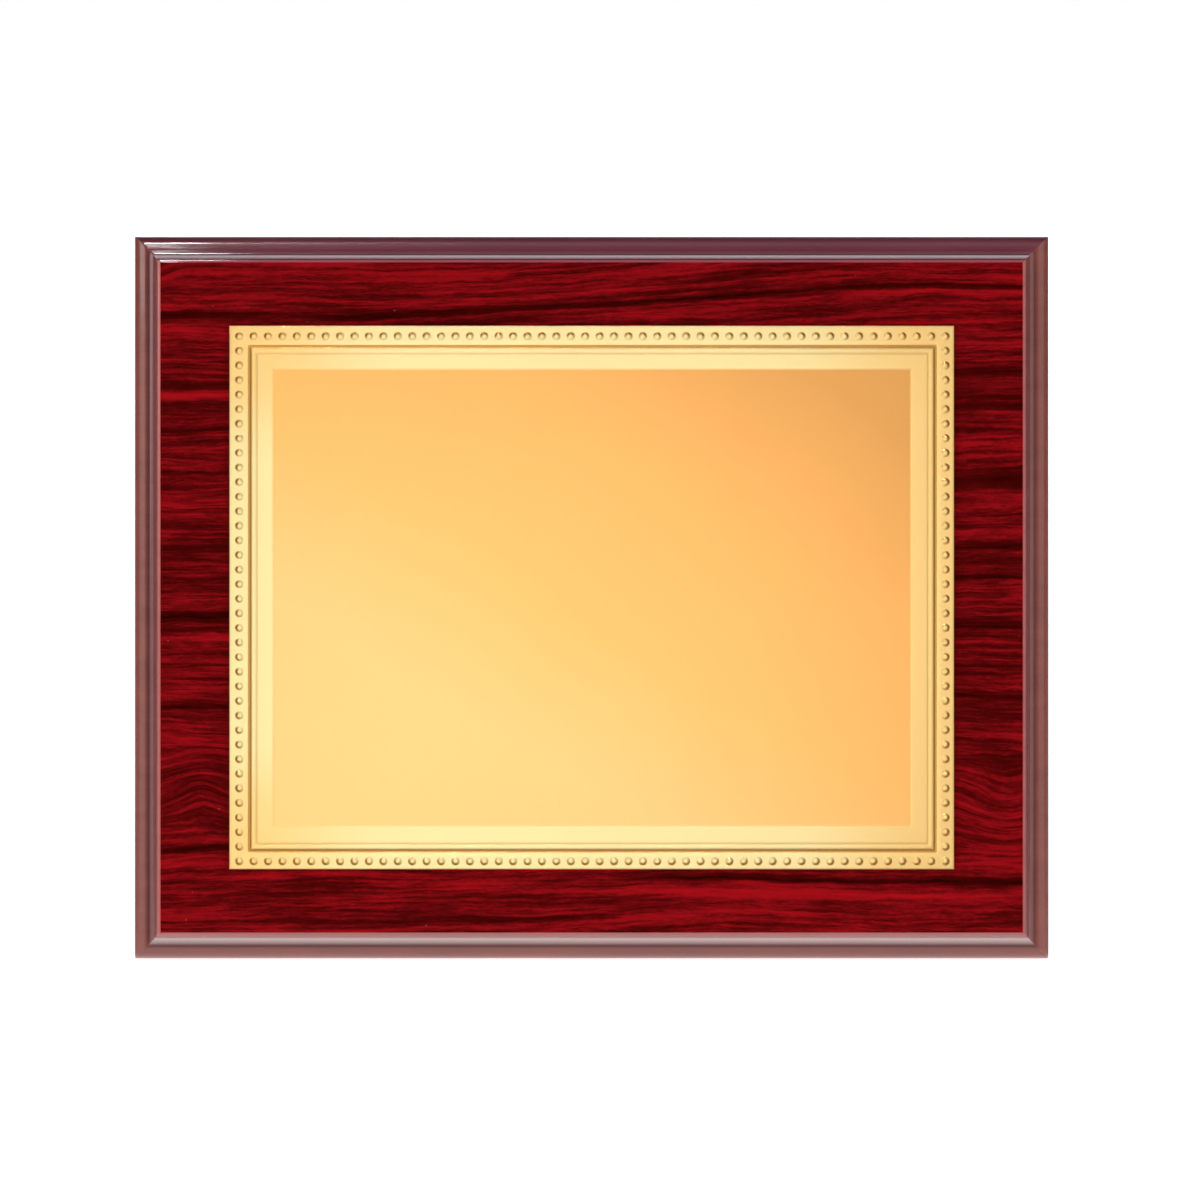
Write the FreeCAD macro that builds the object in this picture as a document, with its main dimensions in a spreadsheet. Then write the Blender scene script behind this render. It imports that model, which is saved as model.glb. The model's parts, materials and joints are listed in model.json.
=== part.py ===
import FreeCAD, Part
import os
import re
import Sketcher

# Wooden award plaque: a moulded, lacquered board with a printed grain sheet and a beaded gold plate
# on its front, and a flock cover, keyhole hangers, bumpers and a folding easel leg on its back.
# The plaque stands on a table and leans back. Row frame: +X to the right as seen from the front,
# +Y to the back, +Z up, with the origin on the table under the middle of the plaque's box.
# Lengths are in millimetres and angles in degrees.

SIZES = {
    # The board, and the rounding of its back edges.
    "board_width": 253,
    "board_height": 200,
    "board_thick": 15,
    "back_edge_radius": 0.8,
    # The edge moulding, from the side inwards: quarter round, ledge, cove, step and arris.
    "round_radius": 3.7,
    "ledge_width": 0.2,
    "cove_radius": 2.3,
    "step_drop": 0.2,
    "arris_radius": 1.3,
    # How it stands: the board's lean, the leg's angle to the board, and the origin's setback.
    "lean_angle": 15,
    "open_angle": 27,
    "setback": 28.3,
    # The printed sheet on the front.
    "sheet_thick": 0.4,
    # The gold plate and its film.
    "film_thick": 0.2,
    "film_inset": 2,
    "plate_width": 200,
    "plate_height": 150,
    "plate_thick": 0.8,
    "groove_inset": 4.9,
    "groove_width": 0.8,
    "groove_depth": 0.3,
    "ridge_width": 1.5,
    "ridge_rise": 0.25,
    "ridge_round": 0.2,
    "line_width": 0.4,
    "line_depth": 0.1,
    "field_width": 176,
    "field_height": 125,
    "field_depth": 0.1,
    "bead_inset": 2.3,
    "bead_radius": 1.15,
    "bead_rise": 0.5,
    "bead_root": 0.2,
    "beads_across": 50,
    "beads_up": 37,
    # The flock cover on the back.
    "cover_inset": 3,
    "cover_thick": 0.5,
    # Countersunk screws, and the play of their holes.
    "screw_head": 2.2,
    "screw_cone": 0.9,
    "screw_shank": 1.3,
    "screw_length": 9,
    "screw_point": 2,
    "cross_span": 2.6,
    "cross_width": 0.5,
    "cross_depth": 0.45,
    "hole_play": 0.05,
    "pilot_depth": 9.5,
    # Keyhole hangers. Heights are from the hanger's middle.
    "hanger_spread": 75,
    "hanger_rise": 62,
    "hanger_width": 16,
    "hanger_length": 40,
    "hanger_thick": 1.2,
    "keyhole_radius": 4.5,
    "keyhole_drop": 4,
    "keyhole_neck": 2,
    "keyhole_reach": 5,
    "hanger_screw_rise": 15,
    "recess_play": 1,
    "recess_depth": 6,
    # Wall bumpers.
    "bumper_spread": 112,
    "bumper_rise": 86,
    "bumper_radius": 5,
    "bumper_height": 5,
    "bumper_skirt": 1.6,
    "bumper_flat": 2,
    # The hinge. Its rise is from the board's middle to the pin.
    "hinge_rise": 40,
    "leaf_thick": 1,
    "barrel_radius": 1.9,
    "pin_radius": 0.9,
    "pin_head": 1.4,
    "pin_head_thick": 0.6,
    "knuckle_gap": 0.3,
    "leaf_gap": 0.5,
    "board_leaf_width": 36,
    "board_leaf_height": 22,
    "leaf_corner": 3,
    "hinge_screw_spread": 12.5,
    "hinge_screw_low": 7,
    "hinge_screw_high": 17,
    "middle_knuckle": 13.4,
    "leg_leaf_width": 24,
    "leg_leaf_height": 28,
    "leg_leaf_lift": 0.1,
    "tongue_width": 11,
    "tongue_root": 1.3,
    "tongue_reach": 5.8,
    "tongue_gap": 0.1,
    # The leg, its rivets and its foot pad.
    "leg_thick": 3,
    "leg_gap": 0.7,
    "leg_top_width": 30,
    "leg_foot_width": 54,
    "leg_corner": 4,
    "rivet_shank": 1.3,
    "rivet_sink": 0.6,
    "rivet_head": 2.5,
    "rivet_head_rise": 0.5,
    "rivet_spread": 7,
    "rivet_high": 8,
    "rivet_low": 20,
    "pad_thick": 1.5,
    "pad_inset": 0.5,
}

# Values that follow from the sizes above.
MOULDING = "(round_radius + ledge_width + cove_radius + arris_radius)"
MOULDING_DEPTH = "(round_radius + cove_radius + step_drop + arris_radius)"
EDGE_DROP = "back_edge_radius * (cos(lean_angle) + sin(lean_angle) - 1)"
PIN_OUT = "(cover_thick + knuckle_gap + barrel_radius)"
PIN_HEIGHT = (
    f"((board_height / 2 + hinge_rise) * cos(lean_angle) - {PIN_OUT} * sin(lean_angle) - {EDGE_DROP})"
)
LEG_SLANT = "(open_angle - lean_angle)"
LEG_INNER = "(barrel_radius - leaf_thick - leg_leaf_lift)"
THROUGH = "4 * board_thick"

# Places in the row frame. The board's frame has its origin in the middle of the board's back, with
# +Y out of the back and +Z up the board, and the leg's frame turns with the leg about the pin.
LEAN = f"placement(vector(0; -setback; -{EDGE_DROP}); rotation(vector(1; 0; 0); -lean_angle))"


def at(across, out, up, angle="0"):
    """Placement at a point, turned about X."""
    return f"placement(vector({across}; {out}; {up}); rotation(vector(1; 0; 0); {angle}))"


BOARD = f"{LEAN} * {at(0, 0, 'board_height / 2')}"
FRONT = f"{BOARD} * {at(0, '-board_thick', 0)}"
HINGE = f"{BOARD} * {at(0, PIN_OUT, 'hinge_rise')}"
LEG = f"{HINGE} * {at(0, 0, 0, 'open_angle')}"

doc = FreeCAD.newDocument("Plaque")
sheet = doc.addObject("Spreadsheet::Sheet", "Sizes")
for row, (alias, size) in enumerate(SIZES.items(), start=1):
    sheet.set(f"A{row}", alias)
    sheet.set(f"B{row}", str(size))
    sheet.setAlias(f"B{row}", alias)
doc.recompute()

NAMES = re.compile(r"\b(" + "|".join(SIZES) + r")\b")


def bound(text):
    """Expression with each size's name pointing at its cell."""
    return NAMES.sub(r"Sizes.\1", str(text))


def number(text):
    """Value of an expression now."""
    value = sheet.evalExpression(str(text))
    return float(getattr(value, "Value", value))


def new_body(label, place):
    """Body of one sub-part, at its place."""
    body = doc.addObject("PartDesign::Body", label)
    body.Label = label
    body.setExpression("Placement", bound(place))
    return body


def origin_part(body, role):
    """Origin plane or axis of a body, by its role."""
    return next(item for item in body.Origin.OriginFeatures if item.Role == role)


def new_sketch(body, name, role, offset="vector(0; 0; 0)", turn="0"):
    """Sketch on an origin plane, moved along its normal or in it, and turned in it."""
    sketch = body.newObject("Sketcher::SketchObject", name)
    sketch.AttachmentSupport = [(origin_part(body, role), "")]
    sketch.MapMode = "FlatFace"
    place = f"placement({offset}; rotation(vector(0; 0; 1); {turn}))"
    sketch.setExpression("AttachmentOffset", bound(place))
    return sketch


def face_sketch(body, name, out="0"):
    """Sketch across and up the board, at a distance out of its back."""
    return new_sketch(body, name, "XZ_Plane", f"vector(0; 0; -({out}))")


def pin_to(sketch, kind, shape, point, text):
    """Hold one coordinate of a point at an expression."""
    index = sketch.addConstraint(Sketcher.Constraint(kind, -1, 1, shape, point, number(text)))
    sketch.setExpression(f"Constraints[{index}]", bound(text))


def outline(sketch, corners):
    """Closed outline through (across, up) corners. A corner that also has (centre, turn) starts an
    arc about that centre to the next corner, anticlockwise where turn is 1 and clockwise at -1."""
    points = [FreeCAD.Vector(number(c[0]), number(c[1]), 0) for c in corners]
    ends = []
    for here, there, corner in zip(points, points[1:] + points[:1], corners):
        if len(corner) == 2:
            shape = sketch.addGeometry(Part.LineSegment(here, there), False)
            ends.append((shape, 1, 2))
            continue
        centre_text, turn = corner[2:]
        centre = FreeCAD.Vector(number(centre_text[0]), number(centre_text[1]), 0)
        ring = Part.Circle(centre, FreeCAD.Vector(0, 0, 1), (here - centre).Length)
        first, last = (here, there) if turn == 1 else (there, here)
        arc = Part.ArcOfCircle(ring, ring.parameter(first), ring.parameter(last))
        shape = sketch.addGeometry(arc, False)
        ends.append((shape, 1, 2) if turn == 1 else (shape, 2, 1))
        chord = there - here
        kind, text = ("DistanceX", 0) if abs(chord.y) > abs(chord.x) else ("DistanceY", 1)
        pin_to(sketch, kind, shape, 3, centre_text[text])
    for (shape, start, end), (following, next_start, _), corner in zip(
        ends, ends[1:] + ends[:1], corners
    ):
        sketch.addConstraint(Sketcher.Constraint("Coincident", shape, end, following, next_start))
        pin_to(sketch, "DistanceX", shape, start, corner[0])
        pin_to(sketch, "DistanceY", shape, start, corner[1])


def circle(sketch, across, up, radius):
    """Circle at a point."""
    centre = FreeCAD.Vector(number(across), number(up), 0)
    ring = Part.Circle(centre, FreeCAD.Vector(0, 0, 1), number(radius))
    shape = sketch.addGeometry(ring, False)
    pin_to(sketch, "DistanceX", shape, 3, across)
    pin_to(sketch, "DistanceY", shape, 3, up)
    index = sketch.addConstraint(Sketcher.Constraint("Radius", shape, number(radius)))
    sketch.setExpression(f"Constraints[{index}]", bound(radius))


def rectangle(sketch, left, low, right, high):
    """Upright rectangle between two corners."""
    outline(sketch, [(left, low), (right, low), (right, high), (left, high)])


def centred(sketch, width, height):
    """Rectangle about the sketch's origin."""
    rectangle(sketch, f"-({width}) / 2", f"-({height}) / 2", f"({width}) / 2", f"({height}) / 2")


def stadium(sketch, across, low, high, radius):
    """Upright slot with round ends, whose end centres are at low and high."""
    left, right = f"{across} - {radius}", f"{across} + {radius}"
    outline(
        sketch,
        [
            (left, low, (across, low), 1),
            (right, low),
            (right, high, (across, high), 1),
            (left, high),
        ],
    )


def set_side(feature, side, forwards):
    """Point a feature to the front or back of its sketch, or both ways."""
    if side == "both":
        feature.SideType = "Symmetric"
    feature.Reversed = side == forwards


def pad(body, sketch, length, side="both"):
    """Add the sketch's outline as material."""
    feature = body.newObject("PartDesign::Pad", "Pad")
    feature.Profile = sketch
    feature.setExpression("Length", bound(length))
    set_side(feature, side, "back")
    sketch.Visibility = False
    doc.recompute()
    return feature


def pocket(body, sketch, length=THROUGH, side="both"):
    """Cut the sketch's outline away, and make sure that it cut something."""
    before = body.Shape.Volume
    feature = body.newObject("PartDesign::Pocket", "Pocket")
    feature.Profile = sketch
    feature.setExpression("Length", bound(length))
    set_side(feature, side, "front")
    doc.recompute()
    check_change(body, before, -1)
    return feature


def revolve(body, sketch, axis="V_Axis"):
    """Turn the sketch's outline about one of its axes."""
    feature = body.newObject("PartDesign::Revolution", "Revolution")
    feature.Profile = sketch
    feature.ReferenceAxis = (sketch, [axis])
    feature.Angle = 360
    doc.recompute()
    return feature


def check_change(body, before, sign):
    """Stop if a feature left the body's volume as it was, or changed it the wrong way."""
    if (body.Shape.Volume - before) * sign <= 0:
        raise RuntimeError(f"{body.Label}: {body.Tip.Name} changed nothing")


def edge_names(shape, test):
    """Names of the edges that pass a test."""
    return [f"Edge{i}" for i, edge in enumerate(shape.Edges, start=1) if test(edge)]


def lies_at(edge, out):
    """True if an edge lies in the plane at a distance out of the back."""
    box = edge.BoundBox
    return abs(box.YMin - out) < 1e-6 and abs(box.YMax - out) < 1e-6


def is_ring(edge, out, radius):
    """True for a circle of this radius in the plane at a distance out of the back."""
    round_edge = isinstance(edge.Curve, Part.Circle)
    return round_edge and lies_at(edge, out) and abs(edge.Curve.Radius - radius) < 1e-6


def soften(body, kind, property_name, size, test):
    """Fillet or chamfer the edges that pass a test."""
    base = body.Tip
    names = edge_names(base.Shape, test)
    if not names:
        raise RuntimeError(f"{body.Label}: no edge to soften")
    feature = body.newObject(f"PartDesign::{kind}", kind)
    feature.Base = (base, names)
    feature.setExpression(property_name, bound(size))
    doc.recompute()
    return feature


def countersink(body, out, radius, size):
    """Sink the rings of one radius in the plane at a distance out of the back."""
    plane, ring = number(out), number(radius)
    soften(body, "Chamfer", "Size", size, lambda edge: is_ring(edge, plane, ring))


def group(label, bodies):
    """One node of separate, identical solids."""
    compound = doc.addObject("Part::Compound", label)
    compound.Label = label
    compound.Links = bodies
    return compound


def mirrored(corners):
    """The same corners in a mirror across the upright axis, met in the other order."""
    flipped = []
    for i in range(len(corners) - 1, -1, -1):
        spot = (f"-({corners[i][0]})", corners[i][1])
        if i and len(corners[i - 1]) == 4:
            centre, turn = corners[i - 1][2:]
            spot += ((f"-({centre[0]})", centre[1]), turn)
        flipped.append(spot)
    return flipped


def moulded_section(sketch, width):
    """Section through the board, with the back at 0, the front up, and the moulding on both sides."""
    side, front = f"{width} / 2", "board_thick"
    rounded = f"{side} - round_radius"
    ledge = f"{rounded} - ledge_width"
    step = f"{ledge} - cove_radius"
    panel = f"{step} - arris_radius"
    arris_foot = f"{front} - arris_radius"
    step_foot = f"{arris_foot} - step_drop"
    ledge_level = f"{step_foot} - cove_radius"
    side_top = f"{ledge_level} - round_radius"
    back_round = f"{side} - back_edge_radius"
    right = [
        (back_round, "0", (back_round, "back_edge_radius"), 1),
        (side, "back_edge_radius"),
        (side, side_top, (rounded, side_top), 1),
        (rounded, ledge_level),
        (ledge, ledge_level, (ledge, step_foot), -1),
        (step, step_foot),
        (step, arris_foot, (panel, arris_foot), 1),
        (panel, front),
    ]
    outline(sketch, right + mirrored(right))


# Board core: the section across the width, with the waste round the section up the height cut away,
# so that the four mouldings meet in mitres.
core = new_body("board_core", BOARD)
width_section = new_sketch(core, "WidthSection", "XY_Plane", turn="180")
moulded_section(width_section, "board_width")
pad(core, width_section, "board_height")
waste = new_sketch(core, "HeightWaste", "YZ_Plane", turn="90")
moulded_section(waste, "board_height")
centred(waste, "2 * board_height", "4 * board_thick")
pocket(core, waste, "2 * board_width")
PANEL_WIDTH = f"board_width - 2 * {MOULDING}"
PANEL_HEIGHT = f"board_height - 2 * {MOULDING}"
recess = face_sketch(core, "SheetRecess", "-board_thick")
centred(recess, PANEL_WIDTH, PANEL_HEIGHT)
pocket(core, recess, "sheet_thick", "back")

# Screw places across and up the board, from its middle.
HANGER_SCREWS = {
    name: [(f"{sign} * hanger_spread", f"hanger_rise + {end} * hanger_screw_rise") for end in (-1, 1)]
    for name, sign in (("left", -1), ("right", 1))
}
HINGE_SCREWS = [
    (f"{sign} * hinge_screw_spread", f"hinge_rise + {height}")
    for sign in (-1, 1)
    for height in ("hinge_screw_low", "hinge_screw_high")
]
BOARD_SCREWS = HANGER_SCREWS["left"] + HANGER_SCREWS["right"] + HINGE_SCREWS
HOLE_RADIUS = "screw_shank + hole_play"


def keyhole_recesses(sketch):
    """The room behind both hangers for a wall screw's head."""
    for sign in (-1, 1):
        low = "hanger_rise - keyhole_drop"
        high = "hanger_rise + keyhole_reach"
        stadium(sketch, f"{sign} * hanger_spread", low, high, "(keyhole_radius + recess_play)")


head_room = face_sketch(core, "HangerRecesses")
keyhole_recesses(head_room)
pocket(core, head_room, "recess_depth", "front")
pilots = face_sketch(core, "PilotHoles")
for across, up in BOARD_SCREWS:
    circle(pilots, across, up, HOLE_RADIUS)
pocket(core, pilots, "pilot_depth", "front")

# Printed grain sheet, flush with the panel's arris.
grain = new_body("grain_face", FRONT)
grain_outline = face_sketch(grain, "GrainOutline")
centred(grain_outline, PANEL_WIDTH, PANEL_HEIGHT)
pad(grain, grain_outline, "sheet_thick", "back")

# Double-sided film behind the gold plate.
film = new_body("plate_adhesive", FRONT)
film_outline = face_sketch(film, "FilmOutline")
centred(film_outline, "plate_width - 2 * film_inset", "plate_height - 2 * film_inset")
pad(film, film_outline, "film_thick", "front")

# Gold plate: a sheet with a groove, a ridge, a fine line, a sunk field and rows of beads.
plate = new_body("gold_plate", f"{FRONT} * {at(0, '-film_thick', 0)}")
blank = face_sketch(plate, "Blank")
centred(blank, "plate_width", "plate_height")
pad(plate, blank, "plate_thick", "front")


def plate_ring(name, inset, width):
    """Ring on the plate's face, between two insets from its edge."""
    sketch = face_sketch(plate, name, "-plate_thick")
    for reach in (inset, f"({inset} + {width})"):
        centred(sketch, f"plate_width - 2 * {reach}", f"plate_height - 2 * {reach}")
    return sketch


RIDGE_INSET = "(groove_inset + groove_width)"
LINE_INSET = f"({RIDGE_INSET} + ridge_width)"
pocket(plate, plate_ring("Groove", "groove_inset", "groove_width"), "groove_depth", "back")
pad(plate, plate_ring("Ridge", RIDGE_INSET, "ridge_width"), "ridge_rise", "front")
ridge_top = number("-plate_thick - ridge_rise")
soften(plate, "Fillet", "Radius", "ridge_round", lambda edge: lies_at(edge, ridge_top))
pocket(plate, plate_ring("FineLine", LINE_INSET, "line_width"), "line_depth", "back")
field = face_sketch(plate, "Field", "-plate_thick")
centred(field, "field_width", "field_height")
pocket(plate, field, "field_depth", "back")


def bead(name, across, up):
    """One domed bead, turned about its own middle."""
    spot = f"vector({across}; -plate_thick; {up})"
    sketch = new_sketch(plate, name, "XY_Plane", spot)
    ball = "(bead_radius ^ 2 + bead_rise ^ 2) / (2 * bead_rise)"
    outline(
        sketch,
        [
            ("0", "bead_root"),
            ("0", "-bead_rise", ("0", f"{ball} - bead_rise"), 1),
            ("bead_radius", "0"),
            ("bead_radius", "bead_root"),
        ],
    )
    return revolve(plate, sketch)


def bead_row(name, start, axis, length, count):
    """Row of beads along an axis from its first bead."""
    before = plate.Shape.Volume
    first = bead(f"{name}Bead", *start)
    row = plate.newObject("PartDesign::LinearPattern", f"{name}Row")
    row.Originals = [first]
    row.Direction = (origin_part(plate, axis), [""])
    row.setExpression("Length", bound(length))
    row.setExpression("Occurrences", bound(count))
    plate.Tip = row
    doc.recompute()
    check_change(plate, before, 1)


BEAD_SPAN = "(plate_width - 2 * bead_inset)"
BEAD_CLIMB = "(plate_height - 2 * bead_inset)"
BEAD_STEP = f"{BEAD_CLIMB} / (beads_up - 1)"
for name, sign in (("Low", -1), ("High", 1)):
    start = (f"-{BEAD_SPAN} / 2", f"{sign} * {BEAD_CLIMB} / 2")
    bead_row(name, start, "X_Axis", BEAD_SPAN, "beads_across")
for name, sign in (("Left", -1), ("Right", 1)):
    start = (f"{sign} * {BEAD_SPAN} / 2", f"-{BEAD_CLIMB} / 2 + {BEAD_STEP}")
    bead_row(name, start, "Z_Axis", f"{BEAD_CLIMB} - 2 * {BEAD_STEP}", "beads_up - 2")

# Flock cover on the back, open over the hangers' recesses and the screws.
cover = new_body("back_cover", BOARD)
cover_outline = face_sketch(cover, "CoverOutline")
centred(cover_outline, "board_width - 2 * cover_inset", "board_height - 2 * cover_inset")
pad(cover, cover_outline, "cover_thick", "back")
openings = face_sketch(cover, "CoverOpenings")
keyhole_recesses(openings)
for across, up in BOARD_SCREWS:
    circle(openings, across, up, HOLE_RADIUS)
pocket(cover, openings)


def screw(name, place):
    """Countersunk wood screw, with its head's face at the place and its point to the front."""
    body = new_body(name, place)
    side = new_sketch(body, f"{name}Side", "XY_Plane")
    outline(
        side,
        [
            ("0", "-screw_length"),
            ("screw_shank", "screw_point - screw_length"),
            ("screw_shank", "-screw_cone"),
            ("screw_head", "0"),
            ("0", "0"),
        ],
    )
    revolve(body, side)
    cross = face_sketch(body, f"{name}Cross")
    long, short = "cross_span / 2", "cross_width / 2"
    arm = [(short, long), (short, short), (long, short)]
    quarter = arm + [(across, f"-({up})") for across, up in reversed(arm)]
    outline(cross, quarter + [(f"-({across})", up) for across, up in reversed(quarter)])
    pocket(body, cross, "cross_depth", "front")
    return body


def board_screws(label, spots, out):
    """Group of screws at places on the board, with their heads' faces at a distance out of it."""
    screws = [
        screw(f"{label}_{i}", f"{BOARD} * {at(across, out, up)}")
        for i, (across, up) in enumerate(spots, start=1)
    ]
    return group(label, screws)


# Keyhole hangers with their screws.
HANGER_FACE = "cover_thick + hanger_thick"


def hanger(name, sign):
    """Keyhole hanger on the cover, to one side of the middle."""
    middle = at(f"{sign} * hanger_spread", "cover_thick", "hanger_rise")
    body = new_body(f"keyhole_hanger_{name}", f"{BOARD} * {middle}")
    blank = face_sketch(body, "HangerBlank")
    end = "(hanger_length - hanger_width) / 2"
    stadium(blank, "0", f"-{end}", end, "hanger_width / 2")
    pad(body, blank, "hanger_thick", "back")
    keyhole = face_sketch(body, "Keyhole")
    shoulder = "sqrt(keyhole_radius ^ 2 - keyhole_neck ^ 2) - keyhole_drop"
    outline(
        keyhole,
        [
            ("keyhole_neck", "keyhole_reach", ("0", "keyhole_reach"), 1),
            ("-keyhole_neck", "keyhole_reach"),
            ("-keyhole_neck", shoulder, ("0", "-keyhole_drop"), 1),
            ("keyhole_neck", shoulder),
        ],
    )
    pocket(body, keyhole)
    holes = face_sketch(body, "HangerHoles")
    for end in (-1, 1):
        circle(holes, "0", f"{end} * hanger_screw_rise", HOLE_RADIUS)
    pocket(body, holes)
    countersink(body, "hanger_thick", HOLE_RADIUS, "screw_cone")
    return body


hangers = [hanger("left", -1), hanger("right", 1)]
hanger_screws = [
    board_screws(f"hanger_screws_{name}", spots, HANGER_FACE)
    for name, spots in HANGER_SCREWS.items()
]


# Wall bumpers near the cover's corners.
def bumper(level, side, up_sign, sign):
    """Domed rubber bumper, flat on top."""
    spot = at(f"{sign} * bumper_spread", "cover_thick", f"{up_sign} * bumper_rise")
    body = new_body(f"bumper_{level}_{side}", f"{BOARD} * {spot}")
    dome = new_sketch(body, "BumperSide", "XY_Plane")
    rise, run = "(bumper_height - bumper_skirt)", "(bumper_radius - bumper_flat)"
    ball = f"({rise} ^ 2 + {run} ^ 2) / (2 * {run})"
    outline(
        dome,
        [
            ("0", "0"),
            ("bumper_radius", "0"),
            ("bumper_radius", "bumper_skirt", (f"bumper_radius - {ball}", "bumper_skirt"), 1),
            ("bumper_flat", "bumper_height"),
            ("0", "bumper_height"),
        ],
    )
    revolve(body, dome)
    return body


bumpers = [
    bumper(level, side, up_sign, sign)
    for level, up_sign in (("top", 1), ("bottom", -1))
    for side, sign in (("left", -1), ("right", 1))
]

# Hinge leaf on the board, with the two outer knuckles.
COVER_LEVEL = "-(knuckle_gap + barrel_radius)"
KNUCKLE_ROOM = "(barrel_radius + leaf_gap)"
board_leaf = new_body("hinge_board_leaf", HINGE)
leaf_blank = face_sketch(board_leaf, "BoardLeafBlank", COVER_LEVEL)
rectangle(leaf_blank, "-board_leaf_width / 2", "0", "board_leaf_width / 2", "board_leaf_height")
pad(board_leaf, leaf_blank, "leaf_thick", "back")
barrel = new_sketch(board_leaf, "BoardBarrel", "YZ_Plane")
circle(barrel, "0", "0", "barrel_radius")
pad(board_leaf, barrel, "board_leaf_width")
bore = new_sketch(board_leaf, "BoardBore", "YZ_Plane")
circle(bore, "0", "0", "pin_radius + hole_play")
pocket(board_leaf, bore)
notch = face_sketch(board_leaf, "MiddleNotch")
NOTCH = "(middle_knuckle / 2 + knuckle_gap)"
rectangle(notch, f"-{NOTCH}", f"-{KNUCKLE_ROOM}", NOTCH, KNUCKLE_ROOM)
pocket(board_leaf, notch)
leaf_holes = face_sketch(board_leaf, "BoardLeafHoles")
for across, up in HINGE_SCREWS:
    circle(leaf_holes, across, f"{up} - hinge_rise", HOLE_RADIUS)
pocket(board_leaf, leaf_holes)
countersink(board_leaf, f"{COVER_LEVEL} + leaf_thick", HOLE_RADIUS, "screw_cone")
leaf_top = number("board_leaf_height")
soften(
    board_leaf,
    "Fillet",
    "Radius",
    "leaf_corner",
    lambda edge: edge.BoundBox.ZMin > leaf_top - 1e-6 and edge.BoundBox.XLength < 1e-6,
)
hinge_screws = board_screws("hinge_board_screws", HINGE_SCREWS, "cover_thick + leaf_thick")

# Hinge pin, with a peened head at each end.
pin = new_body("hinge_pin", HINGE)
pin_side = new_sketch(pin, "PinSide", "XY_Plane")
head_inner = "(board_leaf_width / 2 + hole_play)"
head_outer = f"({head_inner} + pin_head_thick)"
right_pin = [
    ("pin_radius", f"-{head_inner}"),
    ("pin_radius", head_inner),
    ("pin_head", head_inner),
    ("pin_radius", head_outer),
    ("0", head_outer),
    ("0", f"-{head_outer}"),
    ("pin_radius", f"-{head_outer}"),
    ("pin_head", f"-{head_inner}"),
]
outline(pin_side, [(up, across) for across, up in right_pin])
revolve(pin, pin_side, "H_Axis")

# Hinge leaf on the leg, with the middle knuckle and the stop tongue, in the leg's frame.
leg_leaf = new_body("hinge_leg_leaf", LEG)
leg_blank = face_sketch(leg_leaf, "LegLeafBlank", f"-{LEG_INNER}")
half_leaf, half_knuckle = "leg_leaf_width / 2", "middle_knuckle / 2"
outline(
    leg_blank,
    [
        (f"-{half_leaf}", "-leg_leaf_height"),
        (half_leaf, "-leg_leaf_height"),
        (half_leaf, f"-{KNUCKLE_ROOM}"),
        (half_knuckle, f"-{KNUCKLE_ROOM}"),
        (half_knuckle, "0"),
        (f"-({half_knuckle})", "0"),
        (f"-({half_knuckle})", f"-{KNUCKLE_ROOM}"),
        (f"-({half_leaf})", f"-{KNUCKLE_ROOM}"),
    ],
)
pad(leg_leaf, leg_blank, "leaf_thick", "front")
knuckle = new_sketch(leg_leaf, "MiddleKnuckle", "YZ_Plane")
circle(knuckle, "0", "0", "barrel_radius")
pad(leg_leaf, knuckle, "middle_knuckle")
tongue = new_sketch(leg_leaf, "StopTongue", "YZ_Plane", turn="-open_angle")
tongue_low = f"({COVER_LEVEL} + leaf_thick + tongue_gap)"
rectangle(tongue, tongue_low, "tongue_root", f"{tongue_low} + leaf_thick", "tongue_reach")
pad(leg_leaf, tongue, "tongue_width")
leg_bore = new_sketch(leg_leaf, "LegBore", "YZ_Plane")
circle(leg_bore, "0", "0", "pin_radius + hole_play")
pocket(leg_leaf, leg_bore)

RIVETS = [
    ("0", "-rivet_high"),
    ("-rivet_spread", "-rivet_low"),
    ("rivet_spread", "-rivet_low"),
]
RIVET_HOLE = "rivet_shank + hole_play"


def rivet_holes(body, name):
    """Cut the three rivets' holes through a piece of the leg."""
    sketch = face_sketch(body, name)
    for across, up in RIVETS:
        circle(sketch, across, up, RIVET_HOLE)
    pocket(body, sketch)


rivet_holes(leg_leaf, "LegLeafHoles")
LEAF_INNER = f"-({LEG_INNER} + leaf_thick)"
countersink(leg_leaf, LEAF_INNER, RIVET_HOLE, "rivet_sink")
leaf_foot = number("-leg_leaf_height")
soften(
    leg_leaf,
    "Fillet",
    "Radius",
    "leaf_corner",
    lambda edge: edge.BoundBox.ZMax < leaf_foot + 1e-6 and edge.BoundBox.XLength < 1e-6,
)

# Leg: a tapered strut whose foot is cut level with the table.
leg = new_body("easel_leg", LEG)
leg_face = face_sketch(leg, "LegOutline", f"-{LEG_INNER}")
LEG_TOP = "-(barrel_radius + leg_gap)"
LEG_LOW = f"-{PIN_HEIGHT} / cos{LEG_SLANT} - leg_thick"
outline(
    leg_face,
    [
        ("-leg_foot_width / 2", LEG_LOW),
        ("leg_foot_width / 2", LEG_LOW),
        ("leg_top_width / 2", LEG_TOP),
        ("-leg_top_width / 2", LEG_TOP),
    ],
)
pad(leg, leg_face, "leg_thick", "back")
foot_cut = new_sketch(leg, "FootCut", "YZ_Plane", turn=f"-{LEG_SLANT}")
FOOT_LEVEL = f"(pad_thick - {PIN_HEIGHT})"
rectangle(foot_cut, "0", f"{FOOT_LEVEL} - board_thick", "board_height / 2", FOOT_LEVEL)
pocket(leg, foot_cut)
rivet_holes(leg, "LegHoles")
leg_top = number(LEG_TOP)
soften(
    leg,
    "Fillet",
    "Radius",
    "leg_corner",
    lambda edge: edge.BoundBox.ZMin > leg_top - 1e-6 and edge.BoundBox.XLength < 1e-6,
)

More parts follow.
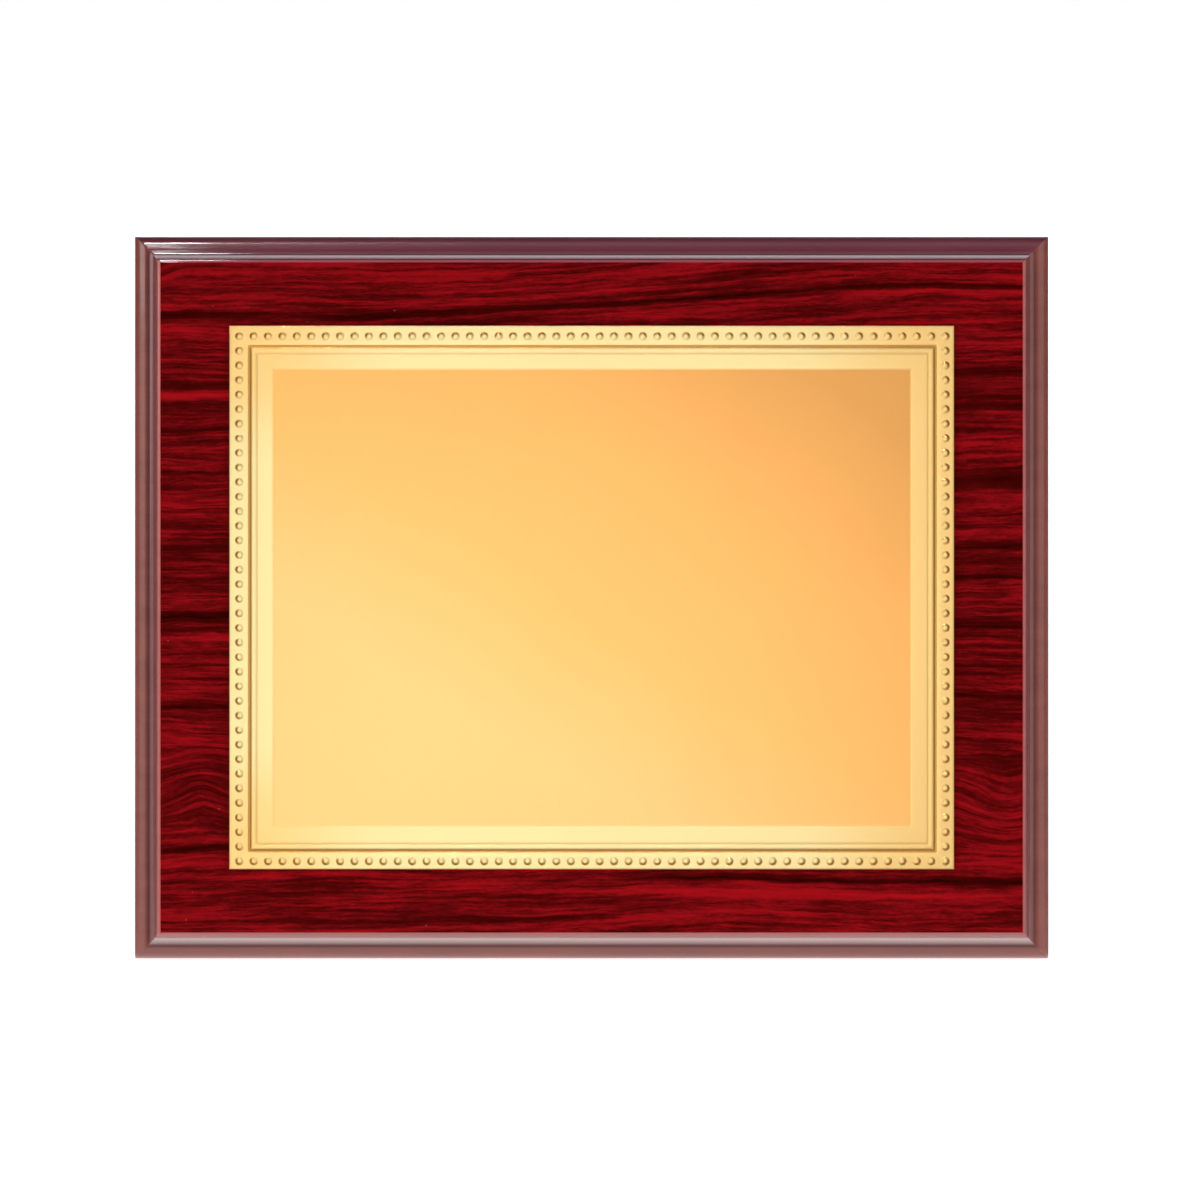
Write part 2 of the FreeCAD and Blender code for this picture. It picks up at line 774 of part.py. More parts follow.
# Foot pad under the leg's end.
foot_pad = new_body("leg_foot_pad", LEG)
pad_side = new_sketch(foot_pad, "PadSide", "YZ_Plane", turn=f"-{LEG_SLANT}")
LEG_MIDDLE = f"((leg_thick / 2 - {LEG_INNER}) / cos{LEG_SLANT} - {FOOT_LEVEL} * tan{LEG_SLANT})"
HALF_PAD = f"leg_thick / (2 * cos{LEG_SLANT})"
rectangle(
    pad_side,
    f"{LEG_MIDDLE} - {HALF_PAD}",
    f"-{PIN_HEIGHT}",
    f"{LEG_MIDDLE} + {HALF_PAD}",
    FOOT_LEVEL,
)
pad(foot_pad, pad_side, "leg_foot_width - 2 * pad_inset")


def rivet(name, across, up):
    """Rivet with a flush inner end and a domed outer head."""
    body = new_body(name, f"{LEG} * {at(across, 0, up)}")
    side = new_sketch(body, f"{name}Side", "XY_Plane")
    face = f"leg_thick - {LEG_INNER}"
    ball = "(rivet_head ^ 2 + rivet_head_rise ^ 2) / (2 * rivet_head_rise)"
    outline(
        side,
        [
            ("0", LEAF_INNER),
            ("rivet_shank + rivet_sink", LEAF_INNER),
            ("rivet_shank", f"{LEAF_INNER} + rivet_sink"),
            ("rivet_shank", face),
            ("rivet_head", face, ("0", f"{face} + rivet_head_rise - {ball}"), 1),
            ("0", f"{face} + rivet_head_rise"),
        ],
    )
    revolve(body, side)
    return body


leg_rivets = group("leg_rivets", [rivet(f"rivet_{i}", *spot) for i, spot in enumerate(RIVETS, start=1)])

doc.recompute()
for item in doc.Objects:
    if {"Invalid", "Error"} & set(item.State):
        raise RuntimeError(f"{item.Label} failed: {item.State}")

NODES = [
    *(core, grain, film, plate, cover),
    *hangers,
    *hanger_screws,
    *bumpers,
    *(board_leaf, hinge_screws, pin),
    *(leg, leg_leaf, leg_rivets, foot_pad),
]
for node in NODES:
    if node.Shape.isNull() or not node.Shape.isValid():
        raise RuntimeError(f"{node.Label} has no valid shape")
os.makedirs("parts", exist_ok=True)
for node in NODES:
    node.Shape.exportStep(f"parts/{node.Label}.step")
    print(f"{node.Label}: {len(node.Shape.Solids)} solids, {node.Shape.Volume:.1f} mm3")

box = Part.makeCompound([node.Shape for node in NODES]).BoundBox
print(f"box: {box}")
print(f"pin height {number(PIN_HEIGHT):.2f}, leg slant {number(LEG_SLANT):.1f}")
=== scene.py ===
import json
import math

import bmesh
import bpy
from mathutils import Matrix, Vector


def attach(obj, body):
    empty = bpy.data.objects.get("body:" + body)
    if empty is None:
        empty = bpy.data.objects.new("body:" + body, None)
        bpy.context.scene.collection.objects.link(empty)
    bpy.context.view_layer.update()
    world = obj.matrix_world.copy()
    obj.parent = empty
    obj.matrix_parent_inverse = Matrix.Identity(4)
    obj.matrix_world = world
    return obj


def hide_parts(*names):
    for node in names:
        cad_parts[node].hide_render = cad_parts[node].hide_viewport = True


# Wooden award plaque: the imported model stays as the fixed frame, and this script gives it its looks.
# Lengths on the plaque are in millimetres, and MM makes them the metres that Blender takes. Lights
# and the camera are placed in metres. Angles are in degrees, except LEAN, which is in radians.

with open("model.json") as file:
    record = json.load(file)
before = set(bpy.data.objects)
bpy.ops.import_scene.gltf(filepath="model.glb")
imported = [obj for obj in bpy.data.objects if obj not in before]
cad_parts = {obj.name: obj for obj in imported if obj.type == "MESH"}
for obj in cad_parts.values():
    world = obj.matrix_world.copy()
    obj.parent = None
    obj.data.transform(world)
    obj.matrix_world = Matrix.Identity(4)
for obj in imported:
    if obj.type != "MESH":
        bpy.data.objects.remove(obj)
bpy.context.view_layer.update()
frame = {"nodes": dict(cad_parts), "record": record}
record = frame["record"]
MM = 0.001

# ---------------------------------------------------------------------------------------------
# The board's own frame: x across, y out of the back and z up the board, from its back's middle.
# ---------------------------------------------------------------------------------------------
mounts = {mount["name"]: mount for mount in record["mounts"]}
field = mounts["engraving_field"]
FRONT = Vector(field["axis"]).normalized()
RIGHT = Vector((1, 0, 0))
OUT = -FRONT
UP = FRONT.cross(RIGHT)
TURN = Matrix((RIGHT, OUT, UP)).transposed().to_4x4()


def extent(node, frame_matrix):
    """Lowest and highest corner of a CAD node in a frame."""
    inverse = frame_matrix.inverted()
    points = [inverse @ vertex.co for vertex in frame["nodes"][node].data.vertices]
    low = Vector([min(point[i] for point in points) for i in range(3)])
    high = Vector([max(point[i] for point in points) for i in range(3)])
    return low, high


board_low, board_high = extent("board_core", TURN)
middle = (board_low + board_high) / 2
BOARD = TURN @ Matrix.Translation((middle.x, board_high.y, middle.z))
board_low, board_high = extent("board_core", BOARD)
sheet_high = extent("grain_face", BOARD)[1]
plate_high = extent("gold_plate", BOARD)[1]
LEAN = math.atan2(UP.y, UP.z)
FACE = board_low.y
HALF_WIDTH = board_high.x / MM
HALF_HEIGHT = board_high.z / MM
THICK = -board_low.y / MM
SHEET_INSET = HALF_WIDTH - sheet_high.x / MM
SHEET_BACK = sheet_high.y / MM
PLATE_HALF_WIDTH = plate_high.x / MM
PLATE_HALF_HEIGHT = plate_high.z / MM
PLATE_BACK = plate_high.y / MM
PLATE_THICK = 0.8
PLATE_FACE = PLATE_BACK - PLATE_THICK
FIELD_INSET = 12.0
# The moulding's section: rounded back edge, quarter round, ledge, cove, step and arris.
BACK_ROUND, SIDE_ROUND, LEDGE_END, COVE, STEP, ARRIS = 0.8, 3.7, 3.9, 2.3, 0.2, 1.3
COVE_END = LEDGE_END + COVE


# ---------------------------------------------------------------------------------------------
# Material building
# ---------------------------------------------------------------------------------------------
class Shader:
    """One material, with short calls for its nodes."""

    def __init__(self, name):
        self.material = bpy.data.materials.new(name)
        self.material.use_nodes = True
        self.tree = self.material.node_tree
        self.bsdf = self.tree.nodes["Principled BSDF"]

    def set(self, socket, value):
        """Link a socket to another one, or give it a constant."""
        if isinstance(value, bpy.types.NodeSocket):
            self.tree.links.new(value, socket)
        elif socket.type == "RGBA" and len(value) == 3:
            socket.default_value = (*value, 1)
        else:
            socket.default_value = value

    def finish(self, **inputs):
        """Set the surface shader's inputs by name, with _ for a space."""
        for name, value in inputs.items():
            self.set(self.bsdf.inputs[name.replace("_", " ")], value)
        return self.material

    def math(self, operation, *values):
        node = self.tree.nodes.new("ShaderNodeMath")
        node.operation = operation
        for socket, value in zip(node.inputs, values):
            self.set(socket, value)
        return node.outputs[0]

    def place(self, angle=0.0, origin=(0, 0, 0)):
        """Coordinates in millimetres, in a frame turned about X by radians and set at an origin."""
        coordinates = self.tree.nodes.new("ShaderNodeTexCoord").outputs["Object"]
        node = self.tree.nodes.new("ShaderNodeMapping")
        self.set(node.inputs["Vector"], coordinates)
        node.inputs["Scale"].default_value = (1 / MM,) * 3
        node.inputs["Rotation"].default_value = (angle, 0, 0)
        back = Matrix.Rotation(angle, 3, "X") @ Vector(origin)
        node.inputs["Location"].default_value = -back / MM
        return node.outputs[0]

    def scaled(self, vector, scale, shift=(0, 0, 0)):
        node = self.tree.nodes.new("ShaderNodeMapping")
        self.set(node.inputs["Vector"], vector)
        node.inputs["Scale"].default_value = scale
        node.inputs["Location"].default_value = shift
        return node.outputs[0]

    def split(self, vector):
        node = self.tree.nodes.new("ShaderNodeSeparateXYZ")
        self.set(node.inputs[0], vector)
        return node.outputs

    def length(self, vector):
        node = self.tree.nodes.new("ShaderNodeVectorMath")
        node.operation = "LENGTH"
        self.set(node.inputs[0], vector)
        return node.outputs["Value"]

    def join(self, x, y, z):
        node = self.tree.nodes.new("ShaderNodeCombineXYZ")
        for socket, value in zip(node.inputs, (x, y, z)):
            self.set(socket, value)
        return node.outputs[0]

    def noise(self, vector, scale=1.0, detail=2.0, roughness=0.5):
        node = self.tree.nodes.new("ShaderNodeTexNoise")
        inputs = {"Vector": vector, "Scale": scale, "Detail": detail, "Roughness": roughness}
        for name, value in inputs.items():
            self.set(node.inputs[name], value)
        return node.outputs[0]

    def cells(self, vector, scale=1.0):
        """Distance to the nearest of a scatter of points."""
        node = self.tree.nodes.new("ShaderNodeTexVoronoi")
        self.set(node.inputs["Vector"], vector)
        node.inputs["Scale"].default_value = scale
        return node.outputs["Distance"]

    def ramp(self, factor, stops):
        """Colours or greys between stops of (place, colour)."""
        node = self.tree.nodes.new("ShaderNodeValToRGB")
        self.set(node.inputs[0], factor)
        elements = node.color_ramp.elements
        while len(elements) < len(stops):
            elements.new(0.5)
        for element, (spot, colour) in zip(elements, stops):
            element.position = spot
            element.color = (*colour, 1) if isinstance(colour, tuple) else (colour,) * 3 + (1,)
        return node.outputs[0]

    def fade(self, value, low, high, start=0.0, end=1.0):
        """Value carried from one range to another, smoothly and within it."""
        node = self.tree.nodes.new("ShaderNodeMapRange")
        node.interpolation_type = "SMOOTHSTEP"
        for socket, item in zip(node.inputs, (value, low, high, start, end)):
            self.set(socket, item)
        return node.outputs[0]

    def mix(self, factor, first, second, blend="MIX"):
        """Two colours blended by a factor."""
        node = self.tree.nodes.new("ShaderNodeMix")
        node.data_type = "RGBA"
        node.blend_type = blend
        for name, value in zip(("Factor_Float", "A_Color", "B_Color"), (factor, first, second)):
            socket = next(item for item in node.inputs if item.identifier == name)
            self.set(socket, value)
        return next(item for item in node.outputs if item.identifier == "Result_Color")

    def bump(self, height, depth_mm, strength=1.0):
        """Normals of a surface with this relief."""
        node = self.tree.nodes.new("ShaderNodeBump")
        node.inputs["Strength"].default_value = strength
        node.inputs["Distance"].default_value = depth_mm * MM
        self.set(node.inputs["Height"], height)
        return node.outputs[0]


def board_place(shader):
    """Coordinates in the board's own frame, in millimetres."""
    return shader.place(LEAN, BOARD.translation)


# Strong veins of the printed grain on each half of the sheet: height in mm, half width in mm and
# tone, dark below zero and bright above it.
VEINS_LEFT = [
    (-88.6, 1.2, -0.16),
    (-69.3, 1.0, -0.30),
    (-30.6, 0.8, -0.28),
    (-11.2, 1.9, 0.20),
    (-5.4, 1.3, -0.36),
    (13.7, 1.0, -0.16),
    (46.3, 1.3, -0.20),
    (55.4, 1.7, 0.20),
    (58.2, 1.0, -0.22),
    (78.0, 1.3, -0.34),
]
VEINS_RIGHT = [
    (-82.2, 2.0, 0.16),
    (-78.0, 1.1, -0.36),
    (-26.8, 0.8, -0.24),
    (-7.4, 0.9, -0.30),
    (5.0, 0.8, -0.22),
    (12.6, 0.9, -0.28),
    (27.6, 2.4, -0.20),
    (43.5, 1.4, -0.16),
    (53.6, 0.9, -0.34),
    (78.0, 1.1, -0.36),
]
GRAIN_SPAN = 200.0
# Spots that the grain bows round: mm across and up from the middle, reach and lift.
CURLS = [(-108, -53, 15, -4), (114, -58, 17, 5), (-124, 92, 12, 4)]
# Layers of the grain: share of the tone, waves per mm in x, y and z, shift, detail and roughness.
# The offset brings their sum to the range of the colours.
GRAIN_LAYERS = [
    (0.34, (0.012, 1, 0.16), (0, 0, 0), 3, 0.55),
    (0.62, (0.020, 1, 0.62), (7, 0, 3), 4, 0.62),
    (0.36, (0.13, 1, 1.3), (1, 0, 9), 4, 0.65),
    (0.18, (0.55, 1, 2.7), (4, 0, 2), 3, 0.6),
]
TONE_OFFSET = 0.27
# Colours of the grain by its tone.
GRAIN_COLOURS = [
    (0.12, (0.012, 0.0008, 0.0006)),
    (0.30, (0.046, 0.0012, 0.0008)),
    (0.40, (0.073, 0.0018, 0.0016)),
    (0.455, (0.113, 0.0026, 0.0034)),
    (0.49, (0.152, 0.0032, 0.0044)),
    (0.53, (0.225, 0.0040, 0.0064)),
    (0.60, (0.345, 0.0050, 0.0086)),
    (0.72, (0.45, 0.0056, 0.0100)),
]


def vein_stops(veins):
    """Ramp stops over the height of the sheet: the veins' tones on an even grey."""
    even, least_gap = 0.5, 0.0005
    stops = []
    for up, half, depth in veins:
        place, reach = up / GRAIN_SPAN + 0.5, half / GRAIN_SPAN
        for spot, tone in ((place - reach, even), (place, even + depth), (place + reach, even)):
            after = stops[-1][0] + least_gap if stops else spot
            stops.append((max(spot, after), tone))
    return stops


def rosewood():
    """Printed red rosewood grain, lying across the board, under gloss lacquer."""
    s = Shader("rosewood_print")
    spot = board_place(s)
    x, _, z = s.split(spot)

    def centred_noise(scale, shift, depth_mm):
        wave = s.noise(s.scaled(spot, scale, shift), 1, 2)
        return s.math("MULTIPLY", s.math("SUBTRACT", wave, 0.5), depth_mm)

    def curl(across, up, reach, lift):
        """Grain lines bowed up round a spot."""
        offset = s.join(s.math("SUBTRACT", x, across), 0, s.math("SUBTRACT", z, up))
        return s.fade(s.length(offset), 0, reach, lift, 0)

    # The grain's own height: wavy, bowed round the curls, and climbing to the right above the middle.
    long_wave, short_wave, climb, edge_glow = 7, 1.4, 9, 0.03
    bent = s.math("ADD", z, centred_noise((0.010, 1, 0.030), (0, 0, 0), long_wave))
    bent = s.math("ADD", bent, centred_noise((0.10, 1, 0.20), (3, 0, 5), short_wave))
    for across, up, reach, lift in CURLS:
        bent = s.math("ADD", bent, curl(across, up, reach, lift))
    rise = s.math("MULTIPLY", s.fade(x, -70, 130, 0, climb), s.fade(z, 0, 60, 0, 1))
    bent = s.math("SUBTRACT", bent, rise)
    lines = s.join(x, 0, bent)
    tone = 0.0
    for share, scale, shift, detail, roughness in GRAIN_LAYERS:
        layer = s.noise(s.scaled(lines, scale, shift), 1, detail, roughness)
        tone = s.math("ADD", tone, s.math("MULTIPLY", layer, share))
    tone = s.math("SUBTRACT", tone, TONE_OFFSET)
    brighter = s.math("ADD", s.fade(z, -72, -62, edge_glow, 0), s.fade(z, 60, 72, 0, edge_glow))
    tone = s.math("ADD", tone, brighter)
    height = s.math("ADD", s.math("DIVIDE", bent, GRAIN_SPAN), 0.5)
    left, right = (s.ramp(height, vein_stops(veins)) for veins in (VEINS_LEFT, VEINS_RIGHT))
    veins = s.mix(s.fade(x, -30, 50), left, right)
    strength = s.ramp(s.noise(s.scaled(lines, (0.03, 1, 0.05), (2, 0, 8)), 1, 2), [(0.3, 0.6), (0.6, 1.0)])
    veins = s.math("MULTIPLY", s.math("SUBTRACT", veins, 0.5), strength)
    colour = s.ramp(s.math("ADD", tone, veins), GRAIN_COLOURS)
    # A few pale specks of dust in the lacquer.
    dust = (0.5, 0.16, 0.12)
    few = s.ramp(s.noise(spot, 0.03, 1), [(0.50, 0.0), (0.60, 1.0)])
    speck = s.math("MULTIPLY", s.ramp(s.cells(spot, 0.16), [(0.02, 1.0), (0.045, 0.0)]), few)
    colour = s.mix(s.math("MULTIPLY", speck, 0.5), colour, dust)
    gloss = s.ramp(s.noise(spot, 0.2, 3), [(0.3, 0.03), (0.7, 0.05)])
    peel = s.bump(s.noise(spot, 0.12, 2), 0.01, 0.25)
    return s.finish(
        Base_Color=colour,
        Roughness=0.5,
        Specular_IOR_Level=0.0,
        Coat_Weight=1.0,
        Coat_IOR=1.5,
        Coat_Roughness=gloss,
        Coat_Normal=peel,
    )


def mahogany():
    """Mahogany paint under gloss lacquer on the moulded edge, with painted light and shade by band and by
    side, and a paler line along the mitres.
    """
    s = Shader("mahogany_lacquer")
    spot = board_place(s)
    x, _, z = s.split(spot)
    cloud = s.ramp(s.noise(s.scaled(spot, (0.03, 0.2, 0.2)), 1, 3, 0.6), [(0.3, 0.0), (0.7, 1.0)])
    inset_x = s.math("SUBTRACT", HALF_WIDTH, s.math("ABSOLUTE", x))
    inset_z = s.math("SUBTRACT", HALF_HEIGHT, s.math("ABSOLUTE", z))
    inset = s.math("MINIMUM", inset_x, inset_z)
    # Paint bands across the moulding, partly painted light and shade: the outer colour is paler where the
    # quarter round catches light, the cove colour is darker in its shade, and the pink crest on the arris
    # is paler as a painted highlight.
    outer = s.mix(cloud, (0.220, 0.056, 0.044), (0.275, 0.075, 0.054))
    cove = s.mix(cloud, (0.135, 0.033, 0.031), (0.165, 0.043, 0.039))
    hollow = s.mix(cloud, (0.190, 0.048, 0.046), (0.225, 0.060, 0.056))
    crest = s.mix(cloud, (0.42, 0.088, 0.080), (0.49, 0.112, 0.100))
    # Painted light by side: a pinkish sheen tint for the top moulding, and painted shade for the bottom
    # one.
    painted_top_sheen, painted_bottom_shade = (0.95, 0.80, 1.22), (0.72, 0.72, 0.74)
    # Colours of the painted highlights in the cove.
    top_highlight_colour, bottom_sheen_colour = (0.95, 0.76, 0.80), (0.75, 0.60, 0.58)
    # Insets over which each paint passes into the next, and how far they drift on the right side, where the
    # painted reflection band on the quarter round is wider.
    to_cove, to_hollow, to_crest, right_drift = (2.6, 4.1), (4.4, 5.6), (6.0, 7.0), 0.7
    beside = s.math("LESS_THAN", inset_x, inset_z)
    above = s.math("MULTIPLY", s.math("GREATER_THAN", z, 0), s.math("SUBTRACT", 1, beside))
    below = s.math("MULTIPLY", s.math("LESS_THAN", z, 0), s.math("SUBTRACT", 1, beside))
    drift = s.math("MULTIPLY", beside, s.fade(x, -10, 10, 0, right_drift))
    level = s.math("SUBTRACT", inset, drift)
    colour = s.mix(s.fade(level, *to_cove), outer, cove)
    # On the top moulding the hollow colour runs all the way out, as painted shade on that side.
    colour = s.mix(s.math("MAXIMUM", s.fade(inset, *to_hollow), above), colour, hollow)
    crested = s.math("ADD", level, s.math("MULTIPLY", drift, 0.5))
    crested = s.math("SUBTRACT", crested, s.math("MULTIPLY", above, 0.5))
    colour = s.mix(s.fade(crested, *to_crest), colour, crest)
    # Painted sheen on the top moulding and painted shade on the bottom one.
    colour = s.mix(above, colour, s.mix(1.0, colour, painted_top_sheen, "MULTIPLY"))
    colour = s.mix(below, colour, s.mix(1.0, colour, painted_bottom_shade, "MULTIPLY"))
    # Painted highlights in the cove: a sharp pale line along the top and a soft pale band along the bottom.
    top_cove_highlight = s.math("MULTIPLY", s.fade(inset, 5.3, 5.6), s.fade(inset, 6.3, 6.5, 1, 0))
    pale = s.math("MULTIPLY", s.fade(inset, 3.4, 5.6), s.fade(inset, 5.8, 6.3, 1, 0))
    colour = s.mix(s.math("MULTIPLY", top_cove_highlight, above), colour, top_highlight_colour)
    colour = s.mix(s.math("MULTIPLY", pale, s.math("MULTIPLY", below, 0.45)), colour, bottom_sheen_colour)
    # A paler line along the mitres, partly wear on the paint and partly a painted highlight.
    off_mitre = s.math("ABSOLUTE", s.math("SUBTRACT", inset_x, inset_z))
    mitre_wear_and_highlight = s.math("MULTIPLY", s.fade(off_mitre, 0.1, 0.35, 0.35, 0), s.noise(spot, 0.6, 2))
    colour = s.mix(mitre_wear_and_highlight, colour, crest)
    # The lacquer is thicker and glossier from the cove inwards and round the top left corner.
    corner = s.join(s.math("ADD", x, HALF_WIDTH), 0, s.math("SUBTRACT", z, HALF_HEIGHT))
    pooled = s.math("MAXIMUM", s.fade(s.length(corner), 14, 28, 1, 0), s.fade(inset, 3.4, 4.2))
    thin_coat = 0.7
    coat = s.math("ADD", thin_coat, s.math("MULTIPLY", pooled, 1 - thin_coat))
    fine = s.noise(spot, 0.3, 3)
    thin_gloss = s.ramp(fine, [(0.3, 0.20), (0.7, 0.26)])
    pooled_gloss = s.ramp(fine, [(0.3, 0.05), (0.7, 0.09)])
    peel = s.bump(s.noise(spot, 0.15, 2), 0.015, 0.4)
    return s.finish(
        Base_Color=colour,
        Roughness=0.5,
        Specular_IOR_Level=0.1,
        Coat_Weight=coat,
        Coat_IOR=1.5,
        Coat_Roughness=s.mix(pooled, thin_gloss, pooled_gloss),
        Coat_Normal=peel,
    )


def gold():
    """Satin gold, deeper in the engraving field and darker towards its upper right as painted shade,
    browned by tarnish in the pressed lines and by painted shade on the beads and along the field's edge.
    """
    s = Shader("satin_gold")
    spot = board_place(s)
    x, _, z = s.split(spot)
    inset_x = s.math("SUBTRACT", PLATE_HALF_WIDTH, s.math("ABSOLUTE", x))
    inset_z = s.math("SUBTRACT", PLATE_HALF_HEIGHT, s.math("ABSOLUTE", z))
    inset = s.math("MINIMUM", inset_x, inset_z)
    field_fade = 0.45
    inside = s.fade(inset, FIELD_INSET - field_fade, FIELD_INSET + field_fade)
    cloud = s.ramp(s.noise(spot, 0.02, 3, 0.55), [(0.3, 0.0), (0.7, 1.0)])
    ends = s.math("MULTIPLY", s.fade(x, -92, -55, 1.0, 0), s.fade(s.math("ABSOLUTE", z), 35, 65))
    warm = s.math("MAXIMUM", s.fade(x, 55, 90), ends)
    warm_gold, brown = (1.0, 0.67, 0.255), (0.66, 0.30, 0.042)
    border = s.mix(cloud, (0.99, 0.775, 0.365), (1.0, 0.80, 0.385))
    border = s.mix(warm, border, warm_gold)
    # Painted shade: the field darkens from the lower left to the upper right.
    aslant = s.math("ADD", z, s.math("ADD", s.math("MULTIPLY", x, 0.6), s.math("MULTIPLY", cloud, 8)))
    centre = s.ramp(
        s.math("DIVIDE", s.math("ADD", aslant, 100), 200),
        [
            (0.25, (1.0, 0.60, 0.225)),
            (0.50, (1.0, 0.52, 0.155)),
            (0.75, (0.97, 0.47, 0.135)),
            (1.00, (0.80, 0.385, 0.110)),
        ],
    )
    colour = s.mix(inside, border, centre)
    # Brown darkening held on each vertex of the plate: patina in the pressed lines, painted shade on the
    # beads' outer slopes, and painted shadow along the field's edge.
    patina_and_shade = s.tree.nodes.new("ShaderNodeAttribute")
    patina_and_shade.attribute_name = "patina_and_shade"
    colour = s.mix(patina_and_shade.outputs["Fac"], colour, brown)
    grit = s.noise(spot, 3, 2)
    border_rough = s.ramp(grit, [(0.3, 0.45), (0.7, 0.51)])
    field_rough = s.ramp(grit, [(0.3, 0.40), (0.7, 0.45)])
    return s.finish(
        Base_Color=colour,
        Metallic=1.0,
        Roughness=s.mix(inside, border_rough, field_rough),
        Normal=s.bump(grit, 0.002, 0.3),
    )


def plain(name, colour, dark, roughness, metallic=0.0, grit_mm=0.01, scale=2.0):
    """Evenly finished stuff with fine grit and some colour variation."""
    s = Shader(name)
    spot = s.place()
    grit = s.noise(spot, scale, 3, 0.6)
    tint = s.mix(s.ramp(grit, [(0.3, 0.0), (0.7, 1.0)]), dark, colour)
    rough = s.ramp(s.noise(spot, scale / 4, 2), [(0.3, roughness - 0.05), (0.7, roughness + 0.05)])
    return s.finish(
        Base_Color=tint,
        Metallic=metallic,
        Roughness=rough,
        Normal=s.bump(grit, grit_mm, 0.5),
    )


metal = {"metallic": 1.0, "grit_mm": 0.0015, "scale": 0.6}
finishes = {
    "lacquered_board": mahogany(),
    "rosewood_print": rosewood(),
    "gold": gold(),
    "film": plain("film", (0.8, 0.8, 0.78), (0.7, 0.7, 0.68), 0.5),
    "flock": plain("flock", (0.045, 0.042, 0.042), (0.024, 0.022, 0.022), 0.95, grit_mm=0.08, scale=6.0),
    "zinc": plain("zinc", (0.66, 0.67, 0.7), (0.5, 0.5, 0.52), 0.3, **metal),
    "steel": plain("steel", (0.6, 0.6, 0.62), (0.45, 0.45, 0.46), 0.3, **metal),
    "brass": plain("brass", (0.85, 0.62, 0.28), (0.65, 0.45, 0.18), 0.28, **metal),
    "rubber": plain("rubber", (0.03, 0.03, 0.03), (0.015, 0.015, 0.015), 0.7, grit_mm=0.03),
    "leg_board": plain("leg_paint", (0.03, 0.028, 0.028), (0.018, 0.017, 0.017), 0.45, grit_mm=0.03),
}
slot_of = {part["node"]: part["material_slot"] for part in record["subparts"]}
for name, node in frame["nodes"].items():
    node.data.materials.clear()
    node.data.materials.append(finishes[slot_of[name]])


# ---------------------------------------------------------------------------------------------
# Front pieces: the moulded board and the embossed plate, built in the board's frame in millimetres
# ---------------------------------------------------------------------------------------------
def arc(centre, radius, start, end, steps):
    """Points on an arc in the section plane, angles in degrees from the inset axis."""
    points = []
    for step in range(steps + 1):
        angle = math.radians(start + (end - start) * step / steps)
        points.append((centre[0] + radius * math.cos(angle), centre[1] + radius * math.sin(angle)))
    return points


def ring_points(half_x, half_z, radius, steps, support):
    """A rounded rectangle, with a point near each end of every straight side to hold its shading."""
    points = []
    for sign_x, sign_z, first in ((1, 1, 0), (-1, 1, 90), (-1, -1, 180), (1, -1, 270)):
        centre = (sign_x * (half_x - radius), sign_z * (half_z - radius))
        turn = [math.radians(first + 90 * step / steps) for step in range(steps + 1)]
        curve = [(centre[0] + radius * math.cos(a), centre[1] + radius * math.sin(a)) for a in turn]
        enter, leave = Vector(curve[0]), Vector(curve[-1])
        before = Vector((math.sin(turn[0]), -math.cos(turn[0])))
        after = Vector((-math.sin(turn[-1]), math.cos(turn[-1])))
        points.append(tuple(enter + before * support))
        points += curve
        points.append(tuple(leave + after * support))
    return points


def bridge(bm, first, second):
    """Quads between two closed rings of as many points."""
    count = len(first)
    for i in range(count):
        j = (i + 1) % count
        bm.faces.new((first[i], first[j], second[j], second[i]))


def finish_piece(bm, name, node, slot, sharp_degrees):
    """Turn a mesh in the board's frame into a piece that stands for a CAD node."""
    bmesh.ops.recalc_face_normals(bm, faces=bm.faces)
    mesh = bpy.data.meshes.new(name)
    bm.to_mesh(mesh)
    bm.free()
    mesh.transform(BOARD @ Matrix.Scale(MM, 4))
    mesh.polygons.foreach_set("use_smooth", [True] * len(mesh.polygons))
    mesh.set_sharp_from_angle(angle=math.radians(sharp_degrees))
    piece = bpy.data.objects.new(name, mesh)
    bpy.context.scene.collection.objects.link(piece)
    mesh.materials.append(finishes[slot])
    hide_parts(node)
    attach(piece, "plaque")
    return piece


